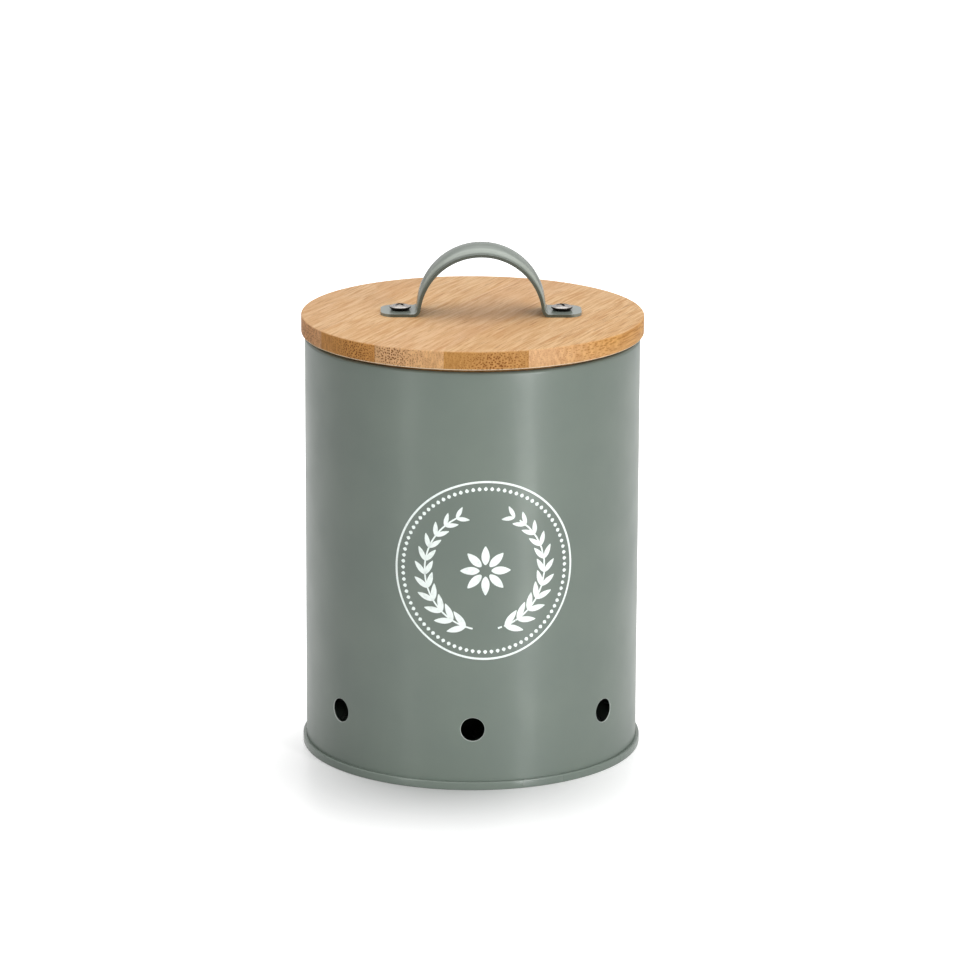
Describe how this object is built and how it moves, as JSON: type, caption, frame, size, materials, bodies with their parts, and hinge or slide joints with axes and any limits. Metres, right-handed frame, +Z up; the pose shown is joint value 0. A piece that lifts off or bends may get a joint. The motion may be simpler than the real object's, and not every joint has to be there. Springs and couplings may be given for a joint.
{
  "type": "garlic keeper",
  "caption": "Round vented metal canister with a rolled rim and seamed base, closed by a lift-off bamboo lid with a pressed strap handle.",
  "frame": {"origin": "centre of the ring that the tin stands on, at the bottom of its base seam", "axes": "+Z up through the tin and its lid, -Y out of the front, handle spans X"},
  "size_m": [0.1226, 0.1226, 0.1848],
  "materials": {
    "sage_paint": "satin powder coat, grey sage green",
    "bamboo": "sanded and lightly oiled flat-pressed bamboo",
    "silicone": "milky translucent silicone",
    "zinc_screw": "bright zinc plate"
  },
  "bodies": {
    "can": {"can_body": "sage_paint", "can_base": "sage_paint"},
    "lid": {"lid_stave_1": "bamboo", "lid_stave_2": "bamboo", "lid_stave_3": "bamboo", "lid_stave_4": "bamboo", "lid_stave_5": "bamboo", "lid_plug": "bamboo", "lid_seal": "silicone", "handle_strap": "sage_paint", "handle_screw_left": "zinc_screw", "handle_screw_right": "zinc_screw"}
  },
  "joints": [
    {"name": "lid_lift", "type": "slide", "parent": "can", "child": "lid", "axis": [0, 0, 1], "range_m": [0, 0.11]}
  ]
}
